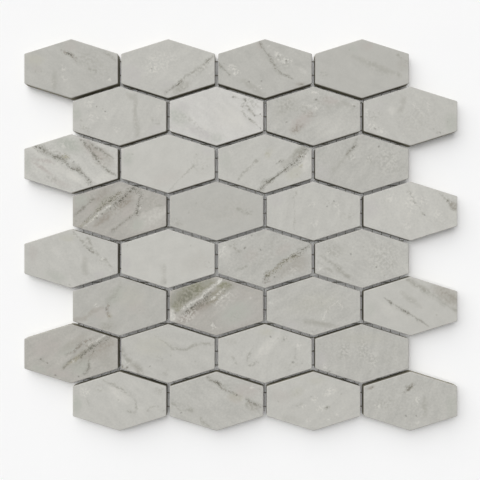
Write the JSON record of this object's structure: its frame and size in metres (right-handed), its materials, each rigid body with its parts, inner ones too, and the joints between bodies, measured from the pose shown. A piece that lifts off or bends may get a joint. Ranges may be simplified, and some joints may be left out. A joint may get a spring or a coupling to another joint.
{
  "type": "elongated hexagon mosaic tile sheet",
  "caption": "Flat sheet of marble-look grey porcelain tiles, each an elongated hexagon, in staggered rows with open joints on a backing net.",
  "frame": {"origin": "under the middle of the sheet, at the underside of the backing net", "axes": "+X along the rows of tiles, +Y across the rows towards row 1, +Z out of the tile faces"},
  "size_m": [0.331, 0.2992, 0.0098],
  "materials": {
    "porcelain": "matt porcelain with a printed grey marble figure",
    "net": "coated glass yarn"
  },
  "bodies": {
    "root": {"tile_r1_c1": "porcelain", "tile_r1_c2": "porcelain", "tile_r1_c3": "porcelain", "tile_r1_c4": "porcelain", "tile_r2_c1": "porcelain", "tile_r2_c2": "porcelain", "tile_r2_c3": "porcelain", "tile_r2_c4": "porcelain", "tile_r3_c1": "porcelain", "tile_r3_c2": "porcelain", "tile_r3_c3": "porcelain", "tile_r3_c4": "porcelain", "tile_r4_c1": "porcelain", "tile_r4_c2": "porcelain", "tile_r4_c3": "porcelain", "tile_r4_c4": "porcelain", "tile_r5_c1": "porcelain", "tile_r5_c2": "porcelain", "tile_r5_c3": "porcelain", "tile_r5_c4": "porcelain", "tile_r6_c1": "porcelain", "tile_r6_c2": "porcelain", "tile_r6_c3": "porcelain", "tile_r6_c4": "porcelain", "tile_r7_c1": "porcelain", "tile_r7_c2": "porcelain", "tile_r7_c3": "porcelain", "tile_r7_c4": "porcelain", "tile_r8_c1": "porcelain", "tile_r8_c2": "porcelain", "tile_r8_c3": "porcelain", "tile_r8_c4": "porcelain", "net_band_1": "net", "net_band_2": "net", "net_band_3": "net"}
  },
  "joints": []
}
